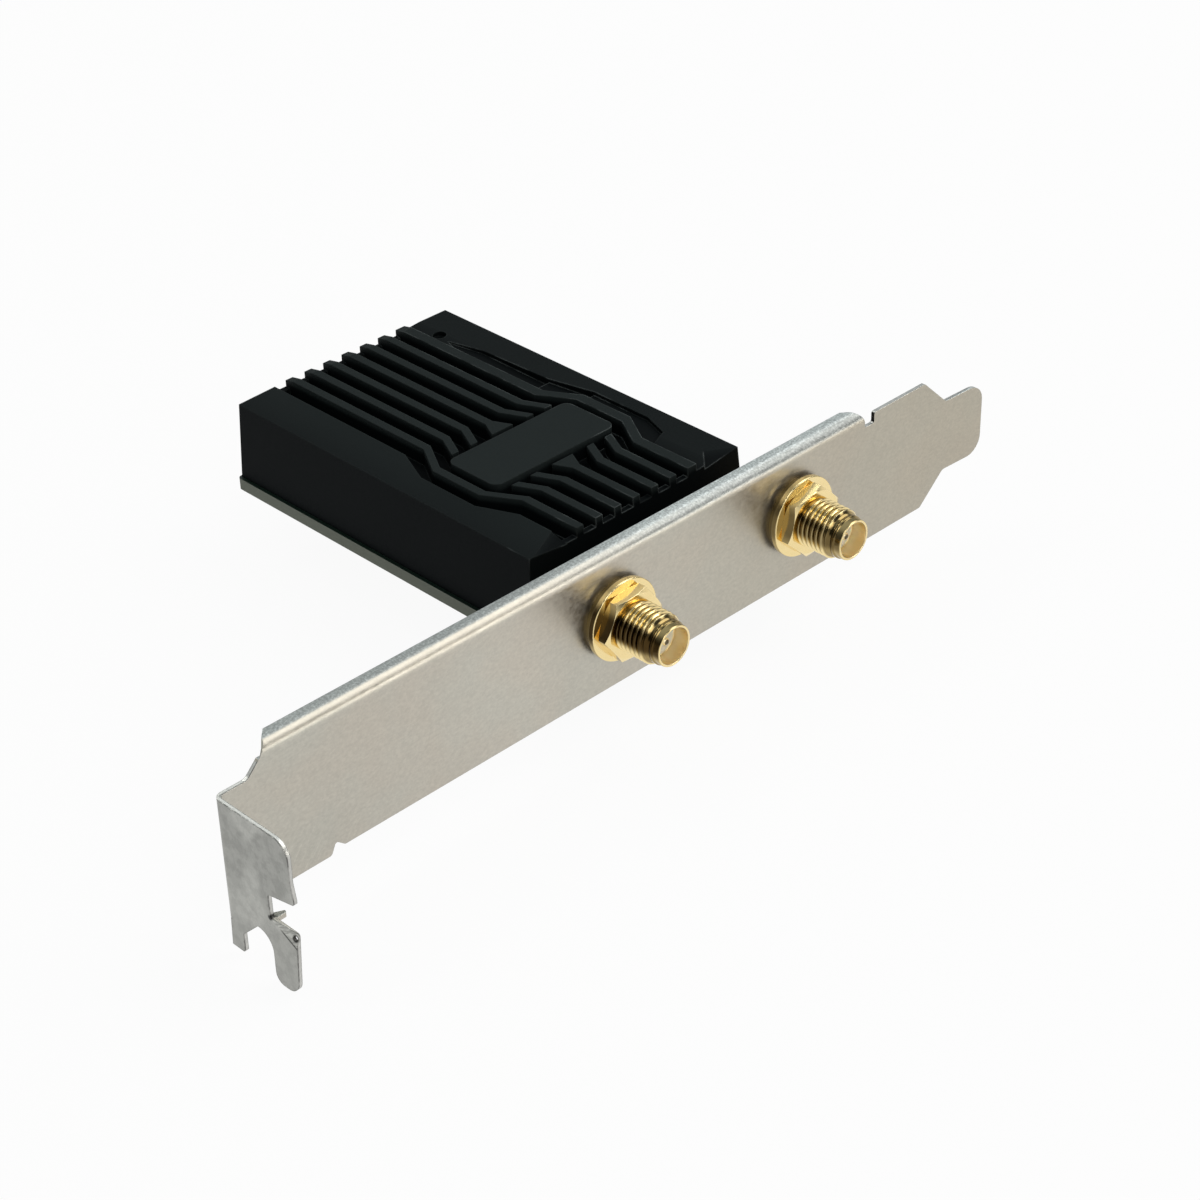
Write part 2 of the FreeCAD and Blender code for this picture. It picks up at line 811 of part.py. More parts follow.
def make_radio_parts():
    """The chips under the shield and the power parts beside it."""
    chip_top = board_top + chip_height
    chip = centred_box(shield_x, shield_y, chip_size, chip_size, board_top, chip_top)
    pad = centred_box(shield_x, shield_y, chip_pad_size, chip_pad_size, chip_top,
                      shield_top - shield_sheet)
    front_chips = []
    for sign in (-1, 1):
        x = shield_x + sign * front_chip_spacing / 2
        front_chips.append(centred_box(x, shield_y - front_chip_back, front_chip_size,
                                       front_chip_size, board_top, board_top + front_chip_height))
    crystal = centred_box(shield_x + crystal_side, shield_y, crystal_width, crystal_length,
                          board_top, board_top + crystal_height)
    inductor = centred_box(shield_x + inductor_side, power_y, inductor_size, inductor_size,
                           board_top, board_top + inductor_height)
    regulator = centred_box(shield_x - regulator_side, power_y, regulator_size, regulator_size,
                            board_top, board_top + regulator_height)
    capacitors = []
    for i in range(capacitor_count):
        x = shield_x + (i - (capacitor_count - 1) / 2) * capacitor_pitch
        capacitors.append(centred_box(x, capacitor_y, capacitor_width, capacitor_length,
                                      board_top, board_top + capacitor_height))
    save("radio_chip", chip)
    save("chip_pad", pad)
    save("front_end_chips", Part.makeCompound(front_chips))
    save("crystal", crystal)
    save("power_inductor", inductor)
    save("voltage_regulator", regulator)
    save("capacitors", Part.makeCompound(capacitors))


def make_thermal_pad():
    """The soft pad between the shield's lid and the pedestal."""
    return centred_box(shield_x, shield_y, pad_size, pad_size, shield_top, pad_top)


def block_span():
    """Where a jack's square block begins and ends behind the plate."""
    return sheet, sheet + block_depth


def leg_places(x):
    """The four ground legs of a jack."""
    middle = pin_down_y()
    apart = block_depth / 2 - leg_radius - leg_inset
    return [(x + a * leg_spread, middle + b * apart) for a in (-1, 1) for b in (-1, 1)]


def pin_down_y():
    """Where a jack's centre contact turns down to the board."""
    y0, y1 = block_span()
    return (y0 + y1) / 2


def turned(x, points):
    """Solid turned about a jack's axis from (radius, y) points."""
    corners = [FreeCAD.Vector(x + radius, y, jack_z) for radius, y in points]
    corners.append(corners[0])
    face = Part.Face(Part.makePolygon(corners))
    return face.revolve(FreeCAD.Vector(x, 0, jack_z), FreeCAD.Vector(0, 1, 0), 360)


def make_barrel(x):
    """The jack's barrel: plain through the plate, threaded, then a neck and open nose."""
    points = [(0, sheet), (shank_radius, sheet), (shank_radius, nut_front),
              (thread_radius, nut_front)]
    crests = int((nut_front + thread_end) / thread_pitch)
    flat = crest_share * thread_pitch
    for i in range(crests):
        y = nut_front - i * thread_pitch
        points.append((thread_core, y - (thread_pitch - flat) / 2))
        points.append((thread_radius, y - thread_pitch + flat))
        points.append((thread_radius, y - thread_pitch))
    points += [(neck_radius, -thread_end), (neck_radius, -neck_step),
               (nose_radius, -neck_step - nose_bevel), (nose_radius, -jack_reach + nose_bevel),
               (nose_radius - nose_bevel, -jack_reach), (0, -jack_reach)]
    return turned(x, points)


def make_jack_body(x):
    """Brass body: square block on the board, legs, threaded barrel and open nose."""
    y0, y1 = block_span()
    top = jack_z + block_rise
    block = box(x - block_width / 2, x + block_width / 2, y0, y1, board_top, top)
    block = block.makeFillet(block_round, edges_at_z(block, top))
    body = block.fuse(make_barrel(x))
    for leg_x, leg_y in leg_places(x):
        body = body.fuse(rod_z(leg_x, leg_y, leg_radius, board_low - leg_stub, board_top))
    mouth = rod_y(x, jack_z, bore_radius, -jack_reach - over, -jack_reach + bore_depth)
    core = rod_y(x, jack_z, core_radius, -jack_reach, y1 - block_back)
    drop = rod_z(x, pin_down_y(), core_radius, board_top - over, jack_z)
    return body.cut(mouth).cut(core).cut(drop).removeSplitter()


def make_insulator(x):
    """White plastic core that holds the centre contact, from the mouth down to the board."""
    y1 = block_span()[1]
    core = rod_y(x, jack_z, core_radius, -jack_reach + bore_depth, y1 - block_back)
    stem = rod_z(x, pin_down_y(), core_radius, board_top, jack_z)
    return core.fuse(stem).cut(contact_shape(x)).removeSplitter()


def contact_shape(x):
    """The centre contact: a pin in the mouth that turns down through the board."""
    tip = -jack_reach + pin_recess
    down = pin_down_y()
    rod = rod_y(x, jack_z, contact_radius, tip, down)
    rod = rod.makeChamfer(contact_bevel, edges_at_y(rod, tip))
    turn = Part.makeSphere(contact_radius, FreeCAD.Vector(x, down, jack_z))
    drop = rod_z(x, down, pin_radius, board_low - leg_stub, jack_z)
    return rod.fuse([turn, drop]).removeSplitter()


def make_nut(x, angle):
    """Hexagon nut with both ends of its corners chamfered."""
    corner_radius = nut_flats / 2 / math.cos(math.pi / 6)
    corners = []
    for i in range(7):
        turn = math.radians(angle + 60 * i)
        corners.append(FreeCAD.Vector(x + corner_radius * math.cos(turn), nut_front,
                                      jack_z + corner_radius * math.sin(turn)))
    nut = Part.Face(Part.makePolygon(corners)).extrude(FreeCAD.Vector(0, nut_thickness, 0))
    inner = corner_radius - nut_chamfer
    rise = nut_chamfer * math.tan(math.radians(nut_chamfer_slope))
    round_form = turned(x, [(0, nut_front), (inner, nut_front), (corner_radius, nut_front + rise),
                            (corner_radius, nut_back - rise), (inner, nut_back), (0, nut_back)])
    bore = rod_y(x, jack_z, shank_radius, nut_front - over, nut_back + over)
    return nut.common(round_form).cut(bore).removeSplitter()


def make_washer(x):
    """Round washer under the nut."""
    ring = rod_y(x, jack_z, washer_radius, nut_back, washer_back)
    ring = ring.makeFillet(washer_round, edges_at_y(ring, nut_back))
    hole = rod_y(x, jack_z, thread_radius + panel_clearance, nut_back - over, over)
    return ring.cut(hole)


def make_lock_washer(x):
    """Ring with inner teeth, between the washer and the plate."""
    inner = thread_radius + panel_clearance
    ring = rod_y(x, jack_z, lock_washer_radius, washer_back, 0)
    ring = ring.cut(rod_y(x, jack_z, inner, washer_back - over, over))
    gap = box(inner - over, inner + lock_tooth_depth, washer_back - over, over,
              -lock_tooth_gap / 2, lock_tooth_gap / 2)
    for i in range(lock_tooth_count):
        turned_gap = gap.copy()
        turned_gap.rotate(FreeCAD.Vector(0, 0, 0), FreeCAD.Vector(0, 1, 0),
                          360 * i / lock_tooth_count)
        turned_gap.translate(FreeCAD.Vector(x, 0, jack_z))
        ring = ring.cut(turned_gap)
    return ring


os.makedirs("parts", exist_ok=True)
save("bracket", make_bracket())
save("circuit_board", make_board())
save("edge_contacts", make_contacts())
save("heat_sink", make_heat_sink())
save("heat_sink_screws", make_sink_screws())
save("shield_frame", make_shield_frame())
save("shield_lid", make_shield_lid())
save("thermal_pad", make_thermal_pad())
make_radio_parts()
for name in jack_places:
    centre = jack_places[name]
    save(name + "_body", make_jack_body(centre))
    save(name + "_insulator", make_insulator(centre))
    save(name + "_contact", contact_shape(centre))
    save(name + "_nut", make_nut(centre, nut_angles[name]))
    save(name + "_washer", make_washer(centre))
    save(name + "_lock_washer", make_lock_washer(centre))
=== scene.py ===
# %% [markdown]
# # A wireless network card, from bare solids to a finished picture
#
# The solids of this card come from a drawing programme: a folded steel bracket, a
# small circuit board, a die-cast heat sink and two gilt aerial jacks. They have
# the right shapes and places, and no looks. This lesson gives them their
# finishes, adds the few forms that a drawing leaves out, such as a thread that
# really winds, and sets up the camera and the light.
#
# Everything is in metres, in the frame of the drawing: x runs along the bracket,
# y points from the bracket's outer face along the card, z is up.

# %% Load the solids
import math

import bpy
import numpy as np
from mathutils import Matrix, Vector


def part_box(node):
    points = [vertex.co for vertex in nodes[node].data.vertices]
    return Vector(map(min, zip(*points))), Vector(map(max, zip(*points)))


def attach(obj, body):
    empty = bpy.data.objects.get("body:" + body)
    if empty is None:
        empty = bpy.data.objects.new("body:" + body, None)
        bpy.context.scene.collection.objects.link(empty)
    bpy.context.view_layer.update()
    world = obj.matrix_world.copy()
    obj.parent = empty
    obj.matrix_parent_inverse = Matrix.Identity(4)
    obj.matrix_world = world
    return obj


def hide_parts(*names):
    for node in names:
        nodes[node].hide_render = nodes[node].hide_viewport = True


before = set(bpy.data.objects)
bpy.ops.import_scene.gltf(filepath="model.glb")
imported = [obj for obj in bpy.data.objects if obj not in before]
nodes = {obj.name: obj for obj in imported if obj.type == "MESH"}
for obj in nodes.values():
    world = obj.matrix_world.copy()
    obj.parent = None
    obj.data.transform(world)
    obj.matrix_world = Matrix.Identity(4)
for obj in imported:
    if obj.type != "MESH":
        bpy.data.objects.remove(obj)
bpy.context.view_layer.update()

MM = 0.001

# %% [markdown]
# ## The camera
#
# A product photograph is taken from far away with a long lens, so that edges that
# are parallel stay nearly parallel. The camera could be aimed by a constraint,
# but a constraint is harder to read later than three numbers: which way the
# camera is turned, how far it looks down, and a small roll. From these we work
# out its three axes. Place and angles were found by matching the corners of the
# bracket and the heat sink to the photograph.

# %% Place the camera
camera_place = np.array((-185.805, -211.206, 187.297)) * MM
camera_turn = math.radians(-43.92)
camera_down = math.radians(33.316)
camera_roll = math.radians(-1.553)
lens_mm = 82.97


def camera_axes(turn, down, roll):
    """Right, up and back of a camera that looks towards its target.

    back = (sin turn cos down, -cos turn cos down, sin down); right is level and
    square to it; right and up are then turned about back by the roll."""
    back = np.array((math.sin(turn) * math.cos(down), -math.cos(turn) * math.cos(down),
                     math.sin(down)))
    right = np.cross(-back, (0, 0, 1))
    right /= np.linalg.norm(right)
    up = np.cross(right, -back)
    rolled_right = right * math.cos(roll) + up * math.sin(roll)
    rolled_up = up * math.cos(roll) - right * math.sin(roll)
    return rolled_right, rolled_up, back


camera_data = bpy.data.cameras.new("camera")
camera_data.sensor_width = 36.0
camera_data.sensor_height = 36.0
camera_data.lens = lens_mm
camera_data.clip_start = 0.01
camera = bpy.data.objects.new("camera", camera_data)
bpy.context.scene.collection.objects.link(camera)
axes = camera_axes(camera_turn, camera_down, camera_roll)
camera_matrix = np.eye(4)
camera_matrix[:3, :3] = np.array(axes).T
camera_matrix[:3, 3] = camera_place
camera.matrix_world = Matrix(camera_matrix.tolist())
bpy.context.scene.camera = camera
bpy.context.scene.view_settings.view_transform = "Standard"
print("camera looks along", np.round(-axes[2], 3))

# %% [markdown]
# ## Arithmetic on sockets
#
# A material is a small sum: a colour made a little darker here, a roughness a
# little higher there. Drawn as boxes and wires such a sum is hard to follow. So
# we wrap a socket in a class that knows plus, minus, times and the rest. Each
# sign adds one Math node. Colours and vectors never go through it, because a Math
# node turns them grey: they use Mix and Vector Math nodes.

# %% Wire, a value on its way through the nodes
class Wire:
    """An output socket that can be used in sums."""

    def __init__(self, board, socket):
        self.board = board
        self.socket = socket

    def sum_of(self, operation, *values):
        made = self.board.node("ShaderNodeMath", {"operation": operation},
                               dict(enumerate(values)))
        return made[0]

    def __add__(self, other):
        return self.sum_of("ADD", self, other)

    def __radd__(self, other):
        return self.sum_of("ADD", other, self)

    def __sub__(self, other):
        return self.sum_of("SUBTRACT", self, other)

    def __rsub__(self, other):
        return self.sum_of("SUBTRACT", other, self)

    def __mul__(self, other):
        return self.sum_of("MULTIPLY", self, other)

    def __rmul__(self, other):
        return self.sum_of("MULTIPLY", other, self)

    def __truediv__(self, other):
        return self.sum_of("DIVIDE", self, other)

    def __rtruediv__(self, other):
        return self.sum_of("DIVIDE", other, self)

    def __pow__(self, other):
        return self.sum_of("POWER", self, other)

    def __neg__(self):
        return self.sum_of("MULTIPLY", self, -1.0)

    def __abs__(self):
        return self.sum_of("ABSOLUTE", self)

    def at_least(self, other):
        return self.sum_of("MAXIMUM", self, other)

    def at_most(self, other):
        return self.sum_of("MINIMUM", self, other)


print("signs:", [name for name in vars(Wire) if name.startswith("__")][3:])

# %% [markdown]
# ## A board to lay nodes on
#
# Every finish needs the same few things: where a point of the surface is, noise
# of some size, a soft step from one value to another, a mixture of two colours,
# and a bump. They are the methods of one class. All but the first go through a
# single method that takes a node's type, its settings, which are set first, and
# the values or wires of its sockets. An edge is found by comparing the true
# direction of the surface with the direction it would have if its edges were
# rounded: where the two differ, an edge is near.

# %% Board, the nodes of one material
class Board:
    """The node tree of a material or of the world."""

    def __init__(self, tree):
        self.tree = tree

    def node(self, kind, settings, sockets):
        """Adds a node and returns its outputs, by place, as wires."""
        made = self.tree.nodes.new(kind)
        for name, value in settings.items():
            setattr(made, name, value)
        for name, value in sockets.items():
            self.feed(made.inputs[name], value)
        return [Wire(self, socket) for socket in made.outputs]

    def feed(self, target, value):
        """Links a wire to a socket, or sets the socket's own value."""
        if isinstance(value, Wire):
            self.tree.links.new(value.socket, target)
        elif isinstance(value, (tuple, list)) and len(value) < len(target.default_value):
            target.default_value = (*value, 1.0)
        else:
            target.default_value = value

    def place(self):
        """The point's place in metres, as a vector."""
        return self.node("ShaderNodeTexCoord", {}, {})[3]

    def split(self, vector):
        """The three parts of a vector."""
        return self.node("ShaderNodeSeparateXYZ", {}, {0: vector})

    def mapped(self, vector, place=(0, 0, 0), turn=(0, 0, 0), scale=(1, 1, 1)):
        """The vector moved, turned and stretched, so that noise can follow a direction."""
        return self.node("ShaderNodeMapping", {}, {0: vector, 1: place, 2: turn, 3: scale})[0]

    def noise(self, vector, size, detail=2.0, rough=0.5):
        """Cloudy noise from 0 to 1, with blotches about `size` metres wide."""
        return self.node("ShaderNodeTexNoise", {}, {
            "Vector": vector, "Scale": 1.0 / size, "Detail": detail, "Roughness": rough})[0]

    def facing(self):
        """The three parts of the direction that the surface faces, from -1 to 1."""
        return self.split(self.node("ShaderNodeNewGeometry", {}, {})[1])

    def step(self, value, low, high, start=0.0, end=1.0):
        """Runs softly from start to end while value runs from low to high."""
        return self.node("ShaderNodeMapRange", {"interpolation_type": "SMOOTHSTEP"},
                         {0: value, 1: low, 2: high, 3: start, 4: end})[0]

    def within(self, value, middle, half, soft):
        """1 within `half` of a middle value and 0 further off, with soft sides."""
        off = abs(value - middle)
        return self.step(off, half, half + soft, 1.0, 0.0)

    def mix(self, share, first, second):
        """Colour between two, by share."""
        return self.node("ShaderNodeMix", {"data_type": "RGBA"},
                         {0: share, 6: first, 7: second})[2]

    def tint(self, colour, factor):
        """A colour made lighter or darker by a factor."""
        return self.node("ShaderNodeVectorMath", {"operation": "SCALE"},
                         {0: colour, 3: factor})[0]

    def rounded_edge(self, radius):
        """Normal of the surface as if its edges had this radius, in metres."""
        return self.node("ShaderNodeBevel", {"samples": 6}, {0: radius})[0]

    def edge_share(self, radius):
        """0 on a flat and up to 1 within a radius of an edge."""
        bent = self.rounded_edge(radius)
        flat = self.node("ShaderNodeNewGeometry", {}, {})[1]
        same = self.node("ShaderNodeVectorMath", {"operation": "DOT_PRODUCT"},
                         {0: bent, 1: flat})[1]
        return self.step(same, 0.99, 0.80)

    def bump(self, height, depth, normal=None):
        """Normal bent by a height from 0 to 1 that stands for `depth` metres."""
        sockets = {"Height": height, "Distance": depth, "Strength": 1.0}
        if normal is not None:
            sockets["Normal"] = normal
        return self.node("ShaderNodeBump", {}, sockets)[0]


class Finish(Board):
    """A material with a Principled shader, ready for its wires."""

    def __init__(self, name, **fixed):
        self.material = bpy.data.materials.new(name)
        self.material.use_nodes = True
        super().__init__(self.material.node_tree)
        self.shader = self.tree.nodes["Principled BSDF"]
        for socket, value in fixed.items():
            self.feed(self.shader.inputs[socket.replace("_", " ")], value)

    def give(self, **wires):
        """Feeds the shader's sockets; a _ in a name stands for a space."""
        for socket, value in wires.items():
            self.feed(self.shader.inputs[socket.replace("_", " ")], value)
        return self.material


def dress(material, *names):
    """Puts a material on solids, in each object's own slots."""
    for name in names:
        for slot in nodes[name].material_slots:
            slot.material = material
        print("%-22s gets %s" % (name, material.name))


# %% [markdown]
# ## Floor
#
# The card stands in a white studio. Its floor is one large sheet whose own colour
# is a little below white. For the rays that the camera and the metal send, the
# floor is almost wholly a white of strength 1. So it looks white without any extra
# light on the card, and a soft shadow is left. A brighter lamp would whiten the
# floor too, but it would burn out the pale steel.

# %% Lay the floor
floor_size = 14.0
corner = floor_size / 2
white_share = 0.94
floor_mesh = bpy.data.meshes.new("floor")
floor_mesh.from_pydata([(-corner, -corner, 0), (corner, -corner, 0), (corner, corner, 0),
                        (-corner, corner, 0)], [], [(0, 1, 2, 3)])
floor = bpy.data.objects.new("floor", floor_mesh)
bpy.context.scene.collection.objects.link(floor)

floor_finish = Finish("studio_floor", Roughness=1.0, Specular_IOR_Level=0.0)
floor_cloud = floor_finish.noise(floor_finish.place(), 0.6)
floor_finish.give(
    Base_Color=floor_finish.mix(floor_cloud, (0.80, 0.80, 0.80), (0.82, 0.82, 0.82)))
rays = floor_finish.node("ShaderNodeLightPath", {}, {})
camera_ray, glossy_ray, transmission_ray = rays[0], rays[3], rays[6]
seen = camera_ray.at_least(glossy_ray).at_least(transmission_ray)
white = floor_finish.node("ShaderNodeEmission", {}, {"Color": (1, 1, 1), "Strength": 1.0})[0]
lit = Wire(floor_finish, floor_finish.shader.outputs[0])
shown = floor_finish.node("ShaderNodeMixShader", {}, {0: seen * white_share, 1: lit, 2: white})[0]
floor_finish.feed(floor_finish.tree.nodes["Material Output"].inputs["Surface"], shown)
floor_mesh.materials.append(floor_finish.material)
print("floor of", floor_size, "metres laid")

# %% [markdown]
# ## The room
#
# Gilt and steel show little but their surroundings, so the world is a plain room
# and not one even colour. Its wall is bright at the foot all round. Above, it is
# dim in front, where the camera is, and lighter behind and overhead. The contrast
# between these parts gives the metal its dark and bright lines.

# %% Paint the room
world = bpy.data.worlds.new("studio")
bpy.context.scene.world = world
world.use_nodes = True
room = Board(world.node_tree)
direction = room.node("ShaderNodeTexCoord", {}, {})[0]
east, north, height = room.split(direction)
wall_foot = room.step(height, 0.08, 0.26, 1.0, 0.0)
behind = room.step(north + 0.25 * east, -0.35, 0.55)
overhead = room.step(height, 0.62, 0.95)
upper_room = 0.06 + 0.34 * behind + 0.30 * overhead
brightness = wall_foot * 0.85 + (1 - wall_foot) * upper_room
room_colour = room.mix(wall_foot, (0.90, 0.97, 1.0), (1.0, 0.985, 0.96))
background = world.node_tree.nodes["Background"]
room.feed(background.inputs["Color"], room_colour)
room.feed(background.inputs["Strength"], brightness)
print("room painted")

# %% [markdown]
# ## Lamps
#
# A large softbox high on the right lights the tops and the roll of the flange. A
# second one in front lights the jacks' mouths and the dark walls. A low strip on
# the right draws one bright line along the flange. Three small strips stand
# behind the bracket: from the camera they show only in the threads, as a row of
# narrow highlights side by side on each turn.


# %% Hang the lamps
def hang_lamp(name, place, size, watts, colour):
    """A square lamp at a place, in metres, that faces the card."""
    data = bpy.data.lights.new(name, "AREA")
    data.size = size
    data.energy = watts
    data.color = colour
    lamp = bpy.data.objects.new(name, data)
    bpy.context.scene.collection.objects.link(lamp)
    aim = (Vector((0, 0, 0.01)) - Vector(place)).to_track_quat("-Z", "Y")
    lamp.matrix_world = Matrix.Translation(place) @ aim.to_matrix().to_4x4()
    print("%-18s %.1f W" % (name, watts))


soft_white = (1.0, 0.98, 0.95)
warm_white = (1.0, 0.98, 0.92)
hang_lamp("softbox_right", (0.75, -0.36, 0.98), 1.00, 7.0, soft_white)
hang_lamp("softbox_front", (-0.35, -1.10, 0.75), 0.70, 4.5, soft_white)
hang_lamp("low_strip_right", (0.72, -1.08, 0.20), 0.36, 2.2, (1.0, 0.98, 0.93))
hang_lamp("strip_back", (0.28, 0.80, 0.97), 0.22, 0.9, warm_white)
hang_lamp("strip_back_middle", (-0.17, 0.77, 1.01), 0.16, 0.6, warm_white)
hang_lamp("strip_back_left", (-0.60, 0.80, 0.84), 0.26, 0.9, warm_white)

# %% [markdown]
# ## Bracket steel: grain and places
#
# The bracket is stamped from a plated steel strip. The strip was rolled, so it
# has a very fine grain along its length, a grain so fine that one sees a
# satin speckle more than lines. An image of real steel would do, but noise worked
# out from the place of each point has no seams and stays sharp at any distance.
#
# The finish also has to know which part of the bracket a point is on. The plate,
# the lip and the flange differ in the direction that they face, so their masks
# come from that direction and from the place.

# %% Grain of the steel, and masks for its parts
sheet = 0.5 * MM
plate_face = -25.05 * MM
outer_face = plate_face + sheet
lip_face = -60.75 * MM
roll_start = 21.2 * MM
notch_x = 38.4 * MM
brink = 0.2 * MM

steel = Finish("bracket_steel", Metallic=1.0)
spot = steel.place()
x, y, z = steel.split(spot)
strip = steel.mapped(spot, scale=(0.7, 2.0, 1.4))
grain = steel.step(steel.noise(strip, 0.50 * MM, 3.0, 0.65), 0.30, 0.70)
speckle = steel.step(steel.noise(spot, 0.30 * MM, 2.0, 0.7), 0.35, 0.70)
clouds = steel.noise(spot, 16 * MM, 3.0, 0.55)
elsewhere = steel.mapped(spot, place=(0.05, 0.02, 0.03))
tinge = steel.step(steel.noise(elsewhere, 11 * MM, 2.0, 0.5), 0.35, 0.65)
stain = steel.step(steel.noise(spot, 1.6 * MM, 3.0, 0.6), 0.42, 0.62)

facing_x, facing_y, facing_z = steel.facing()
lip = steel.step(facing_x, -0.5, -0.9)
right_end = steel.step(x, notch_x - brink, notch_x)
far_end = steel.step(x, -30 * MM, 55 * MM)
print("steel parts masked")

# %% [markdown]
# ## Bracket steel: sheared edges
#
# A punch cuts sheet in two ways at once. It first shears a smooth, bright band and
# then tears the rest, which stays dull and ends in a burr. So a cut edge isn't one
# grey: along the face where the punch came in runs a dark line, broken here and
# there, which is painted shade of the edge's rounding, and a weaker one runs along
# the back. To draw the two lines we need to know how deep in the sheet a point
# lies: 0 at the outer face and 1 at the back.

# %% Sheared edges
below_roll = steel.step(z, roll_start, roll_start - brink).at_least(
    steel.step(x, notch_x, notch_x + brink))
plate_side = steel.step(abs(facing_y), 0.5, 0.3) * below_roll
plate_side = plate_side * steel.step(y, plate_face - brink, plate_face)
plate_side = plate_side * steel.step(y, outer_face + brink, outer_face)
lip_side = steel.step(abs(facing_x), 0.5, 0.3)
lip_side = lip_side * steel.step(x, lip_face + sheet + brink / 2, lip_face + sheet)
sheared = plate_side.at_least(lip_side)
into_lip = (x - lip_face) / sheet
into_plate = (y - plate_face) / sheet
into_sheet = lip_side * into_lip + (1 - lip_side) * into_plate
broad = steel.mapped(spot, scale=(0.6, 0.6, 0.6))
streak = steel.step(steel.noise(broad, 0.55 * MM, 2.0, 0.5), 0.40, 0.62)
edge_shade_line = steel.step(into_sheet, 0.34, 0.20) * (1 - 0.5 * streak) * (1 - 0.6 * right_end)
back_line = steel.step(into_sheet, 0.80, 0.95) * 0.5
# Painted shade: the wall of the notch is made almost black.
notch_wall_shade = plate_side * steel.step(facing_x, -0.5, -0.9) * steel.step(x, 0.0, 1 * MM)
print("sheared edges masked")

# %% [markdown]
# ## Bracket steel: flange and marks
#
# The flange is rolled over along the top edge, and its flat part keeps the
# speckle of the plating; its tints are painted reflection. The lip is bent and
# carries more stains than the plate, and it is made darker and cooler as painted
# shade, most of all at its ear and at the foot of its leg. A fold line, two small
# pits at the pressed corner and a dark line inside the lip's edges are painted shade.
# Faint slanting scratches lie low on the plate near the lip. Each mark is a mask
# from 0 to 1. The marks are summed up in the next step.

# %% Flange, stains and scratches
pit_y = -35.90 * MM
pit_z = 7.57 * MM
slot_y = -32.20 * MM
slot_z = 8.32 * MM
fold_slope = 0.488

flange = steel.step(facing_z, 0.88, 0.98) * (1 - sheared)
roll = steel.step(facing_z, 0.25, 0.60) * (1 - flange) * (1 - sheared)
far_flange = steel.step(x, -22 * MM, 12 * MM)
flange_and_far_roll = flange + roll * far_flange

lip_clouds = steel.noise(steel.mapped(spot, scale=(1.0, 1.0, 0.6)), 6.5 * MM, 2.0, 0.45)
lip_zone = steel.step(lip_clouds, 0.46, 0.56)
lip_rim_shade = steel.edge_share(0.35 * MM) * lip
ear = lip * steel.step(y, -30.5 * MM, -31.5 * MM) * steel.step(z, 7.8 * MM, 7.0 * MM)
leg_foot = lip * steel.step(z, 6.2 * MM, 5.0 * MM) * steel.step(y, -30.0 * MM, -29.0 * MM)

slanted = steel.mapped(steel.mapped(spot, turn=(0.0, 0.92, 0.0)), scale=(0.10, 1.0, 1.6))
scratch = steel.step(steel.noise(slanted, 0.45 * MM, 3.0, 0.6), 0.50, 0.66)
near_lip = steel.step(x, -38 * MM, -56 * MM)
scratched = near_lip * steel.step(z, 12.5 * MM, 6.0 * MM) * (1 - lip)


def distance(first, second, place):
    """Distance of the point from a place, both in the plane of the lip."""
    along = first - place[0]
    up = second - place[1]
    return (along * along + up * up) ** 0.5


from_pit = distance(y, z, (pit_y, pit_z))
from_corner = distance(y, z, (slot_y, slot_z))
pits = steel.step(from_pit, 0.55 * MM, 0.26 * MM)
pits = pits.at_least(steel.step(from_corner, 0.42 * MM, 0.18 * MM))
pits = pits * steel.step(x, lip_face + 2 * sheet, lip_face + sheet)
pressed = steel.step(facing_z, 0.10, 0.20) * steel.step(facing_x, -0.3, -0.5)
pressed = pressed * steel.step(z, 9.0 * MM, 8.8 * MM)
above_fold = (z - slot_z) - (y - slot_y) * fold_slope
fold = steel.within(above_fold, 0.12 * MM, 0.04 * MM, 0.14 * MM)
fold = fold * steel.step(y, slot_y - 1.2 * MM, slot_y - 2.2 * MM)
fold = fold * lip * steel.step(x, lip_face + sheet, lip_face)
drawn = steel.mapped(steel.mapped(spot, turn=(0.45, 0.0, 0.0)), scale=(1.0, 0.16, 1.6))
draw_line = steel.step(steel.noise(drawn, 0.30 * MM, 2.0, 0.6), 0.36, 0.62)
print("marks masked")

# %% [markdown]
# ## Bracket steel: colour and tone
#
# The masks now meet in two sums. Tone says how bright the steel is at a point.
# Colour says which grey it is: warmer on the plate and paler on edges that are
# worn. Both sums also carry the painted shade of the lip, the notch wall and the
# edge lines, the painted light on cut edges that face up, and the painted
# reflection on the flange. The edges are rounded by a normal bent towards its
# neighbours, which costs no geometry.

# %% Colour, tone and bump of the steel
tone = 0.82 + 0.11 * grain + 0.12 * clouds + 0.07 * speckle
tone = tone * (1 - 0.13 * far_end)
# Painted shade: the lip is made darker than the plate; its random blotches and stains come on top.
tone = tone * (1 - lip * (0.15 + 0.17 * lip_zone + 0.12 * (stain - 0.5)))
# Painted shade darkens the ear and the foot of the leg; the roll's right part is dimmed as painted
# reflection.
tone = tone * (1 - 0.13 * ear.at_least(leg_foot)) * (1 - 0.16 * far_flange * roll)
# Painted shade: a dark line along the cut edge on the face side.
tone = tone * (1 - sheared * edge_shade_line * 0.72)
tone = tone * (1 - sheared * back_line * 0.6) * (1 - 0.9 * notch_wall_shade)
tone = tone * (1 + 0.13 * scratched * (scratch - 0.5))
tone = tone * (1 + flange_and_far_roll * (0.40 * speckle - 0.24))
# Painted shade inside the lip's edges, broken up by the stains.
tone = tone * (1 - 0.55 * lip_rim_shade * (0.25 + 0.75 * stain))
# Painted shade in the fold line and in the pits.
tone = tone * (1 + pressed * (0.5 * draw_line - 0.15)) * (1 - 0.75 * fold) * (1 - 0.93 * pits)

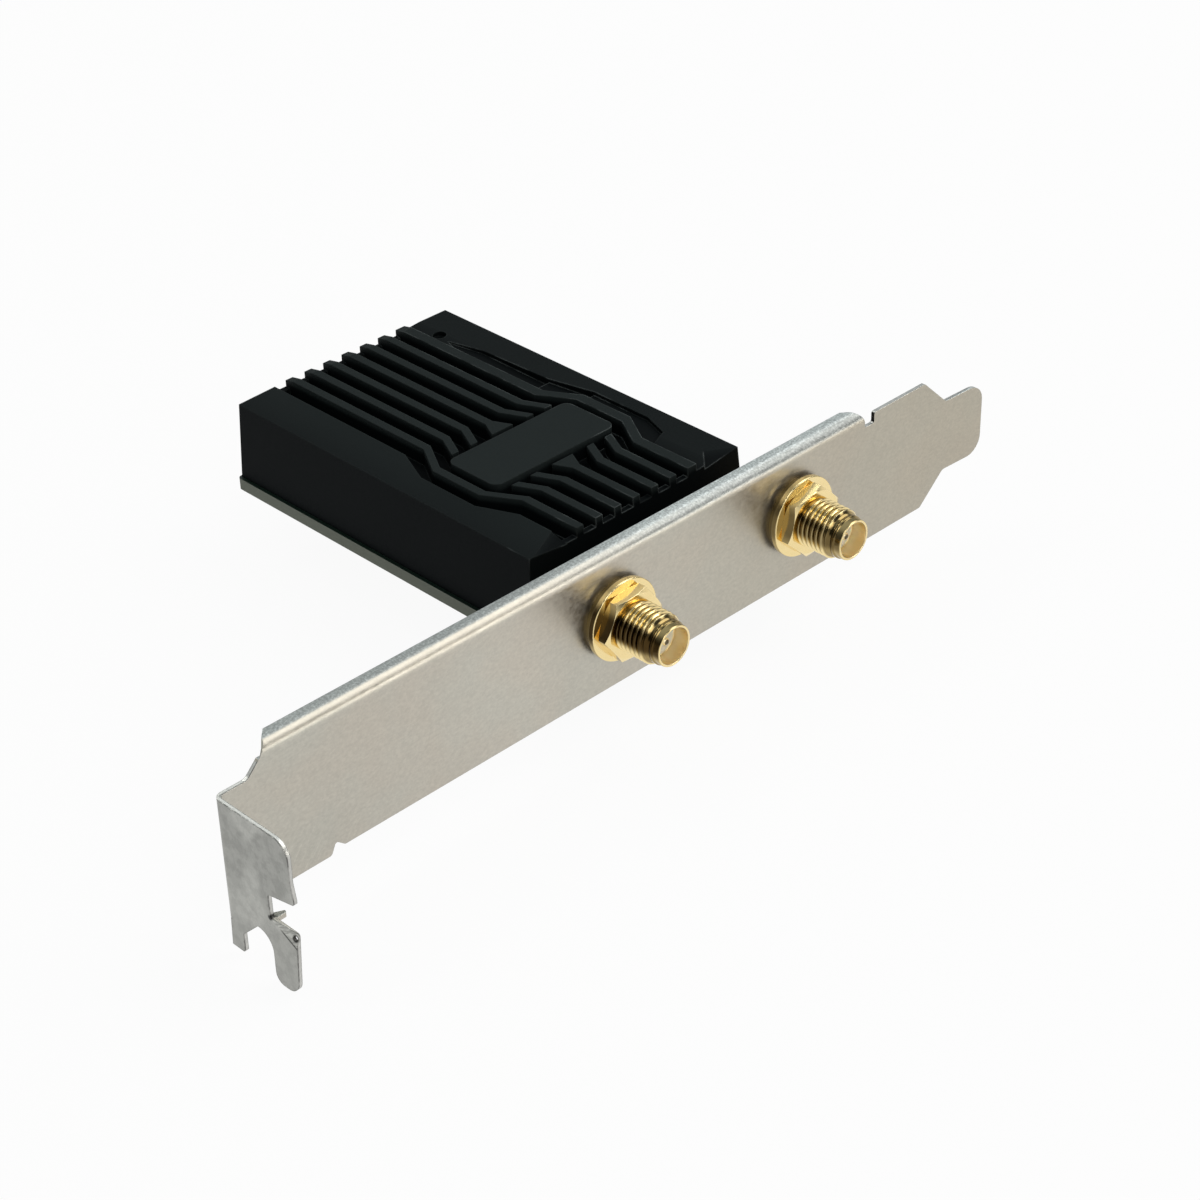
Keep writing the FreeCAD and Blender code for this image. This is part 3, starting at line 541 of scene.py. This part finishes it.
edge_wear_and_sheen = steel.edge_share(0.25 * MM) * (1 - sheared)
# Painted light: cut edges that face up are made pale.
upward_edge_light = sheared * steel.step(facing_z, 0.5, 0.8)
colour = steel.mix(tinge, (0.537, 0.500, 0.432), (0.526, 0.508, 0.446))
colour = steel.mix(far_end * 0.55, colour, (0.52, 0.465, 0.360))
# Painted shade: the lip is given a darker, cooler grey.
colour = steel.mix(lip, colour, (0.475, 0.478, 0.445))
colour = steel.mix(edge_wear_and_sheen * 0.4, colour, (0.66, 0.65, 0.60))
colour = steel.mix(sheared, colour, (0.56, 0.555, 0.525))
colour = steel.mix(upward_edge_light, colour, (0.86, 0.86, 0.82))
# Painted reflection: cream on the roll, bluish grey on the flange and the roll's right part, and a
# pale bluish tint on the flange's right part.
colour = steel.mix(roll * 0.7, colour, (0.62, 0.58, 0.50))
colour = steel.mix(flange_and_far_roll.at_most(1.0) * 0.85, colour, (0.50, 0.535, 0.53))
colour = steel.mix(flange * far_flange, colour, (0.84, 0.89, 0.87))
steel.give(
    Base_Color=steel.tint(colour, tone),
    Roughness=0.33 + 0.10 * grain + 0.05 * clouds + 0.05 * flange,
    Normal=steel.bump(grain * 0.6 + speckle * 0.4, 0.005 * MM, steel.rounded_edge(0.12 * MM)))
dress(steel.material, "bracket")

# %% [markdown]
# ## Black coating of the heat sink
#
# The heat sink is die-cast and coated in a fine-grained matt black. Black is the
# hardest colour to make look real: all its life is in the way it scatters a
# little light. The grain is a fine bump. The tops are painted paler than what lies
# below them, which is painted light on the tops and painted shade in the hollows.
# Every edge of a casting is round, and the normal is bent there, so the edges catch
# a thin line of light; they are also painted a lighter grey, a painted highlight.
# At the front and beside the fins, some edges get a clearer grey still, as painted
# glints.

# %% Coating of the heat sink
coating = Finish("sink_coating", Specular_IOR_Level=0.045)
spot = coating.place()
x, y, z = coating.split(spot)
sink_low, sink_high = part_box("heat_sink")
fine_grain = coating.noise(spot, 0.30 * MM, 3.0, 0.6)
patches = coating.noise(spot, 12 * MM, 3.0, 0.55)
# On the heat sink this is a painted highlight along the edges.
edge_wear_and_sheen = coating.edge_share(0.30 * MM)
right_part = coating.step(x, sink_high.x - 12.5 * MM, sink_high.x - 11.0 * MM)
front_part = coating.step(y, sink_low.y + 4.5 * MM, sink_low.y + 3.5 * MM)
# Painted glints on some edges at the front and on the right.
glint_patches = coating.step(coating.noise(spot, 3.5 * MM, 2.0, 0.5), 0.42, 0.60)
edge_glints = right_part.at_least(front_part) * glint_patches
# Painted light on the tops and painted shade below them.
top_light_and_shade = coating.step(z, sink_high.z - 1.2 * MM, sink_high.z - 0.4 * MM)
coat_colour = coating.mix(top_light_and_shade, (0.0028, 0.0042, 0.0047), (0.0160, 0.0210, 0.0210))
coat_colour = coating.mix(edge_wear_and_sheen * 0.45, coat_colour, (0.034, 0.040, 0.040))
coat_colour = coating.mix(edge_wear_and_sheen * edge_glints * 0.8, coat_colour, (0.115, 0.130, 0.130))
coating.give(
    Base_Color=coating.tint(coat_colour, 0.9 + 0.2 * patches),
    Roughness=0.52 + 0.16 * fine_grain,
    Normal=coating.bump(fine_grain, 0.010 * MM, coating.rounded_edge(0.22 * MM)))
dress(coating.material, "heat_sink")

# %% [markdown]
# ## Gilt brass
#
# The jacks, nuts and washers are turned brass with a thin flash of gold. Turning
# leaves rings finer than a hair, square to the axis, and plating softens them. A
# metal has no colour of its own apart from its reflection, so a small change of
# roughness does more here than a change of colour. The thread's roots, the lock
# washer's outer rim and the contact pin's front end are painted dark as painted
# shade, and the side of each jack that faces left and a little up is painted dark
# brown too, as painted shade.

# %% Gold of the jacks
jack_xs = (-4.13 * MM, 26.18 * MM)
jack_z = 14.27 * MM
crest_radius = 3.175 * MM
core_radius = 2.8 * MM
bore_radius = 2.26 * MM
nut_front = -28.25 * MM
lock_front = -25.85 * MM
rim_radius = 4.2 * MM
pin_radius = 0.30 * MM
dark_side_x = -0.966
dark_side_z = 0.259


def gilt(name, tool_marks, rough):
    """Gold plate over turned brass, with tool marks this many metres apart.

    Both axes lie at the same distance from the plane halfway between them, so the
    distance from that plane tells how far aside of its own axis a point is."""
    finish = Finish(name, Metallic=1.0)
    spot = finish.place()
    x, y, z = finish.split(spot)
    halfway = (jack_xs[0] + jack_xs[1]) / 2
    apart = (jack_xs[1] - jack_xs[0]) / 2
    aside = abs(x - halfway) - apart
    rise = z - jack_z
    radius = (aside * aside + rise * rise) ** 0.5
    past_nut = finish.step(y, nut_front + 0.1 * MM, nut_front)

    rings = finish.noise(finish.mapped(spot, scale=(0.05, 1.0, 0.05)), tool_marks, 2.0, 0.6)
    cloud = finish.noise(spot, 2.2 * MM, 2.0, 0.5)
    edge_wear_and_sheen = finish.edge_share(0.18 * MM)
    # Painted shade: the thread's roots are made dark brown.
    root = finish.step(radius, crest_radius - 0.1 * MM, core_radius + 0.05 * MM) * past_nut
    root = root * finish.step(radius, bore_radius + 0.2 * MM, bore_radius + 0.35 * MM)
    bore = finish.step(radius, bore_radius + 0.08 * MM, bore_radius + 0.02 * MM) * past_nut
    # Painted shade on the lock washer's outer rim, behind the washer.
    under_washer_shade = finish.step(radius, rim_radius, rim_radius + 0.2 * MM)
    under_washer_shade = under_washer_shade * finish.step(y, lock_front - 0.1 * MM, lock_front)
    # Painted shade on the contact pin's front end.
    pin_tip_shade = finish.step(radius, pin_radius + 0.04 * MM, pin_radius)
    pin_tip_shade = pin_tip_shade * finish.step(y, nut_front, nut_front - 0.2 * MM)

    # Painted shade: the side of each jack that faces left and a little up is made dark brown, more
    # so on the near jack.
    side = finish.step(x, halfway - 1 * MM, halfway + 1 * MM, -1.0, 1.0)
    bearing = (aside * side * dark_side_x + rise * dark_side_z) / radius
    square_on = finish.step(abs(finish.facing()[1]), 0.80, 0.50)
    barrel_part = finish.step(radius, crest_radius + 0.2 * MM, crest_radius + 0.1 * MM)
    outside = square_on.at_least(barrel_part)
    outside = outside * finish.step(radius, bore_radius + 0.2 * MM, bore_radius + 0.3 * MM)
    outside = outside * finish.step(y, lock_front, lock_front - 0.1 * MM)
    dark_side_shade = finish.step(bearing, 0.80, 0.97) * outside * (0.74 - 0.14 * side + 0.15 * cloud)

    colour = finish.mix(cloud, (0.84, 0.66, 0.31), (0.92, 0.75, 0.40))
    colour = finish.mix(edge_wear_and_sheen * 0.6, colour, (0.98, 0.86, 0.58))
    colour = finish.mix(root * 0.8, colour, (0.20, 0.135, 0.04))
    colour = finish.mix(bore, colour, (0.90, 0.76, 0.48))
    colour = finish.mix(under_washer_shade * 0.85, colour, (0.09, 0.06, 0.02))
    colour = finish.mix(dark_side_shade, colour, (0.050, 0.028, 0.008))
    colour = finish.mix(pin_tip_shade * 0.9, colour, (0.03, 0.02, 0.01))
    return finish.give(
        Base_Color=colour,
        Roughness=rough + 0.10 * rings + 0.06 * cloud + 0.22 * bore,
        Normal=finish.bump(rings, 0.0015 * MM, finish.rounded_edge(0.08 * MM)))


gold = gilt("jack_gold", 0.12 * MM, 0.07)
for jack in ("jack_near", "jack_far"):
    dress(gold, jack + "_body", jack + "_contact", jack + "_nut", jack + "_washer",
          jack + "_lock_washer")

# %% [markdown]
# ## From rings to a closed skin
#
# Most round forms are a stack of rings: a ring of points, then the next, joined by
# four-sided faces. Given an array of rings, all the faces follow from counting
# points, so one helper serves the barrel, the block and the legs. It fills the
# open ends by a fan about their middle, so that every skin is closed.


# %% Skin a stack of rings
def skin(name, shells):
    """One mesh of closed shells.

    Each shell is an array of rings, shaped (rings, points, 3), and tells whether its
    last ring joins its first. If not, both end rings are filled by a fan about their
    middle. Face k of a ring joins points k and k + 1 to the same points of the next."""
    vertices = []
    faces = []
    first = 0
    for rings, joined in shells:
        count, points = rings.shape[:2]
        index = np.arange(count * points).reshape(count, points) + first
        low = index if joined else index[:-1]
        high = np.roll(index, -1, axis=0) if joined else index[1:]
        quads = np.stack([low, np.roll(low, -1, axis=1), np.roll(high, -1, axis=1), high],
                         axis=-1)
        vertices.append(rings.reshape(-1, 3))
        faces += quads.reshape(-1, 4).tolist()
        first += count * points
        if not joined:
            for ring, row, turn in ((rings[0], index[0], 1), (rings[-1], index[-1], -1)):
                vertices.append(ring.mean(axis=0)[None])
                ahead = np.roll(row, -turn)
                faces += np.stack([np.full(points, first), ahead, row], axis=-1).tolist()
                first += 1
    mesh = bpy.data.meshes.new(name)
    mesh.from_pydata(np.concatenate(vertices).tolist(), [], faces)
    mesh.polygons.foreach_set("use_smooth", np.ones(len(faces), dtype=bool))
    mesh.update()
    piece = bpy.data.objects.new(name, mesh)
    bpy.context.scene.collection.objects.link(piece)
    print("%-22s %6d points, %6d faces" % (name, first, len(faces)))
    return piece


print("a skin can be joined end to end or filled at both ends")

# %% [markdown]
# ## Barrel with a real thread
#
# The drawing has rings where the thread should wind. Seen close by, a thread
# shows: its crests lean, and after each turn they have moved on by one pitch. We
# make the barrel anew as a surface over a grid. A point has an angle and a place
# along the axis. The thread's phase grows with both, so the crest runs round as a
# helix. A screw modifier could do this too, but then the thread could not fade
# out at its end. The neck, the mouth and the bore are plain rings of given radius.

# %% Barrel with a winding thread
plate_back = -24.55 * MM
thread_end = -32.50 * MM
neck_step = -33.35 * MM
mouth = -34.25 * MM
shank_radius = 3.0 * MM
neck_radius = 2.72 * MM
nose_radius = 2.57 * MM
insulator_radius = 2.05 * MM
pitch = 0.7056 * MM
crest_half = 0.045 * MM
flank_run = 0.215 * MM
bore_floor = mouth + 2.2 * MM
around = 144


def barrel(x):
    """Closed skin of the barrel: radius as a function of angle and place on the axis.

    The phase is place / pitch + angle / full turn, without its whole turns. A crest
    lies at phase 1/2. The radius falls from crest to core along flanks of about 60
    degrees, and near the end it stays under a slope of about 45 degrees."""
    angle = np.linspace(0, 2 * np.pi, around, endpoint=False)
    threads = np.arange(nut_front + 0.1 * MM, thread_end, -pitch / 18)
    place, turn = np.meshgrid(threads, angle, indexing="ij")
    phase = (place / pitch + turn / (2 * np.pi)) % 1
    off_crest = np.abs(phase - 0.5) * pitch
    fall = np.clip((off_crest - crest_half) / flank_run, 0, 1)
    fall = 0.6 * fall + 0.4 * fall * fall * (3 - 2 * fall)
    wound = crest_radius - (crest_radius - core_radius) * fall
    wound = np.minimum(wound, neck_radius + (place - thread_end) * 1.1)
    shank = [(plate_back + 0.3 * MM, shank_radius), (nut_front + 0.2 * MM, shank_radius)]
    groove = neck_radius - 0.10 * MM
    nose = [(thread_end, neck_radius - 0.03 * MM),
            (thread_end - 0.22 * MM, neck_radius - 0.03 * MM),
            (thread_end - 0.26 * MM, groove), (thread_end - 0.36 * MM, groove),
            (thread_end - 0.40 * MM, neck_radius), (neck_step + 0.06 * MM, neck_radius),
            (neck_step, neck_radius - 0.05 * MM), (neck_step - 0.03 * MM, nose_radius + 0.01 * MM),
            (neck_step - 0.08 * MM, nose_radius), (mouth + 0.16 * MM, nose_radius),
            (mouth + 0.06 * MM, nose_radius - 0.03 * MM), (mouth, nose_radius - 0.10 * MM),
            (mouth, bore_radius + 0.07 * MM), (mouth + 0.02 * MM, bore_radius + 0.02 * MM),
            (mouth + 0.07 * MM, bore_radius), (bore_floor - 0.02 * MM, bore_radius),
            (bore_floor, bore_radius), (bore_floor, bore_radius - 0.02 * MM),
            (bore_floor, insulator_radius), (bore_floor + 0.02 * MM, insulator_radius),
            (plate_back + 0.3 * MM, insulator_radius)]
    shank = np.array(shank)
    nose = np.array(nose)
    even = np.ones(around)
    ys = np.concatenate([shank[:, 0], threads, nose[:, 0]])
    radii = np.concatenate([shank[:, 1:] * even, wound, nose[:, 1:] * even])
    rings = np.empty((len(ys), around, 3))
    rings[..., 0] = x + radii * np.cos(angle)
    rings[..., 1] = ys[:, None]
    rings[..., 2] = jack_z + radii * np.sin(angle)
    return rings, True


print("barrel from", round(plate_back / MM, 2), "to", round(mouth / MM, 2), "mm along y")

# %% [markdown]
# ## Block and legs
#
# The jack stands on the board as a square block, cast with soft edges, on four
# legs that go into the board's holes. The block is a rounded rectangle stacked
# upwards, drawn in at the top along a quarter circle. The legs end in blunt tips.
# Rounded forms catch a line of light at their edges, which the sharp drawing
# can't do.

# %% Block and legs on the board
block_back = -18.59 * MM
block_top = 18.27 * MM
block_half = 4.0 * MM
block_soft = 0.35 * MM
corner_points = 7
board_top = 9.94 * MM
leg_radius = 0.65 * MM
leg_tip = 7.27 * MM
leg_sides = 2.54 * MM
leg_apart = 1.73 * MM
leg_points = 24


def block(x):
    """Rounded rectangle stacked upwards, drawn in along a quarter circle at the top.

    An outline point is the rectangle's inner corner plus the corner radius times
    (cos turn, sin turn). At angle q of the top's quarter circle the outline has risen
    by soft sin q and is drawn in by soft (1 - cos q)."""
    middle = (plate_back + block_back) / 2
    half = (block_back - plate_back) / 2
    soft = block_soft
    quarter = np.linspace(0, np.pi / 2, corner_points)
    outline = []
    for start, sx, sy in ((0, 1, 1), (1, -1, 1), (2, -1, -1), (3, 1, -1)):
        turn = quarter + start * np.pi / 2
        signs = np.full((corner_points, 2), (sx, sy))
        outline.append(np.column_stack([np.cos(turn), np.sin(turn), signs]))
    outline = np.concatenate(outline)
    rounded = block_top - soft + soft * np.sin(quarter)
    heights = np.concatenate([[board_top, board_top + soft], rounded])
    shrink = np.concatenate([[0, 0], soft * (1 - np.cos(quarter))])[:, None]
    rings = np.empty((len(heights), len(outline), 3))
    rings[..., 0] = x + outline[:, 2] * (block_half - soft) + outline[:, 0] * (soft - shrink)
    rings[..., 1] = middle + outline[:, 3] * (half - soft) + outline[:, 1] * (soft - shrink)
    rings[..., 2] = heights[:, None]
    return rings, False


def leg(x, y):
    """A round leg with a blunt tip: radius as a share of the leg's, given by height."""
    angle = np.linspace(0, 2 * np.pi, leg_points, endpoint=False)
    profile = np.array([(leg_tip, 0.40), (leg_tip + 0.05 * MM, 0.75), (leg_tip + 0.16 * MM, 0.95),
                        (leg_tip + 0.3 * MM, 1.0), (board_top + 0.1 * MM, 1.0)])
    rings = np.empty((len(profile), leg_points, 3))
    rings[..., 0] = x + profile[:, 1:] * leg_radius * np.cos(angle)
    rings[..., 1] = y + profile[:, 1:] * leg_radius * np.sin(angle)
    rings[..., 2] = profile[:, :1]
    return rings, False


legs_middle = (plate_back + block_back) / 2
for jack, x in zip(("jack_near", "jack_far"), jack_xs):
    shells = [barrel(x), block(x)]
    for side in (-1, 1):
        for end in (-1, 1):
            shells.append(leg(x + side * leg_sides, legs_middle + end * leg_apart))
    piece = skin(jack + "_wound_body", shells)
    piece.data.materials.append(gold)
    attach(piece, "root")
    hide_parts(jack + "_body")

# %% [markdown]
# ## The circuit board
#
# The board is glass cloth in resin under a green-black solder mask. Its edges show
# the bare laminate, paler and a little yellow. The mask is told from the edge by
# the direction that the surface faces, so one finish serves the whole solid. The
# contact pads get the jacks' gold with a rougher, brushed look.

# %% Board and its contact pads
laminate = Finish("board_laminate", Specular_IOR_Level=0.45)
spot = laminate.place()
flat = laminate.step(abs(laminate.facing()[2]), 0.5, 0.8)
weave = {"Vector": spot, "Scale": 420.0}
warp = laminate.node("ShaderNodeTexWave", {"bands_direction": "X"}, weave)[1]
weft = laminate.node("ShaderNodeTexWave", {"bands_direction": "Y"}, weave)[1]
cloth = warp * 0.5 + weft * 0.5
fibres = laminate.noise(laminate.mapped(spot, scale=(0.3, 0.3, 3.0)), 0.25 * MM, 3.0, 0.6)
mask_colour = laminate.mix(cloth, (0.004, 0.012, 0.008), (0.006, 0.018, 0.012))
edge_colour = laminate.mix(fibres, (0.098, 0.110, 0.084), (0.160, 0.172, 0.138))
laminate.give(
    Base_Color=laminate.mix(flat, edge_colour, mask_colour),
    Roughness=0.62 - 0.34 * flat + 0.10 * fibres,
    Normal=laminate.bump(cloth * flat + fibres * (1 - flat), 0.006 * MM))
dress(laminate.material, "circuit_board")

pad_gold = gilt("contact_gold", 0.30 * MM, 0.22)
dress(pad_gold, "edge_contacts")

# %% [markdown]
# ## Small parts
#
# Screws, shield, pads, chips and the jacks' insulators are moulded, sintered or
# stamped. All have a fine speckle and a slow change of colour over it, so one
# helper makes their finishes from two colours, a roughness and a size of grain.
# Most of them hide under the heat sink. They show when it is taken off.


# %% Finishes of the small parts
def small_part(name, low, high, rough, grain, depth, **fixed):
    """Speckled finish between two colours; grain and depth of the bump are in metres."""
    finish = Finish(name, **fixed)
    spot = finish.place()
    grains = finish.noise(spot, grain, 3.0, 0.6)
    cloud = finish.noise(spot, 20 * grain, 2.0, 0.5)
    return finish.give(
        Base_Color=finish.mix(0.6 * grains + 0.4 * cloud, low, high),
        Roughness=rough + 0.15 * grains,
        Normal=finish.bump(grains, depth, finish.rounded_edge(0.06 * MM)))


screw_steel = small_part("screw_steel", (0.05, 0.05, 0.052), (0.11, 0.11, 0.112),
                         0.30, 0.25 * MM, 0.003 * MM, Metallic=1.0)
shield_tin = small_part("shield_tin", (0.52, 0.52, 0.50), (0.64, 0.64, 0.62),
                        0.30, 0.60 * MM, 0.003 * MM, Metallic=1.0)
pad_rubber = small_part("pad_rubber", (0.20, 0.24, 0.28), (0.30, 0.34, 0.38),
                        0.75, 0.30 * MM, 0.012 * MM)
chip_resin = small_part("chip_resin", (0.010, 0.010, 0.011), (0.022, 0.022, 0.023),
                        0.55, 0.12 * MM, 0.004 * MM)
ferrite = small_part("ferrite", (0.030, 0.030, 0.032), (0.060, 0.058, 0.056),
                     0.70, 0.20 * MM, 0.010 * MM)
ceramic = small_part("ceramic", (0.22, 0.15, 0.09), (0.36, 0.26, 0.16),
                     0.45, 0.15 * MM, 0.003 * MM)
# Painted reflection: the insulator's white is warmed towards the gold of the bore around it.
insulator = small_part("insulator_white", (0.76, 0.73, 0.62), (0.88, 0.85, 0.75),
                       0.38, 0.40 * MM, 0.003 * MM,
                       Subsurface_Weight=0.15, Subsurface_Scale=0.6 * MM)
dress(screw_steel, "heat_sink_screws")
dress(shield_tin, "shield_frame", "shield_lid", "crystal")
dress(pad_rubber, "thermal_pad", "chip_pad")
dress(chip_resin, "radio_chip", "front_end_chips", "voltage_regulator")
dress(ferrite, "power_inductor")
dress(ceramic, "capacitors")
dress(insulator, "jack_near_insulator", "jack_far_insulator")

# %% [markdown]
# ## Last: sizes
#
# Nothing that we add may make the card larger than its drawing.
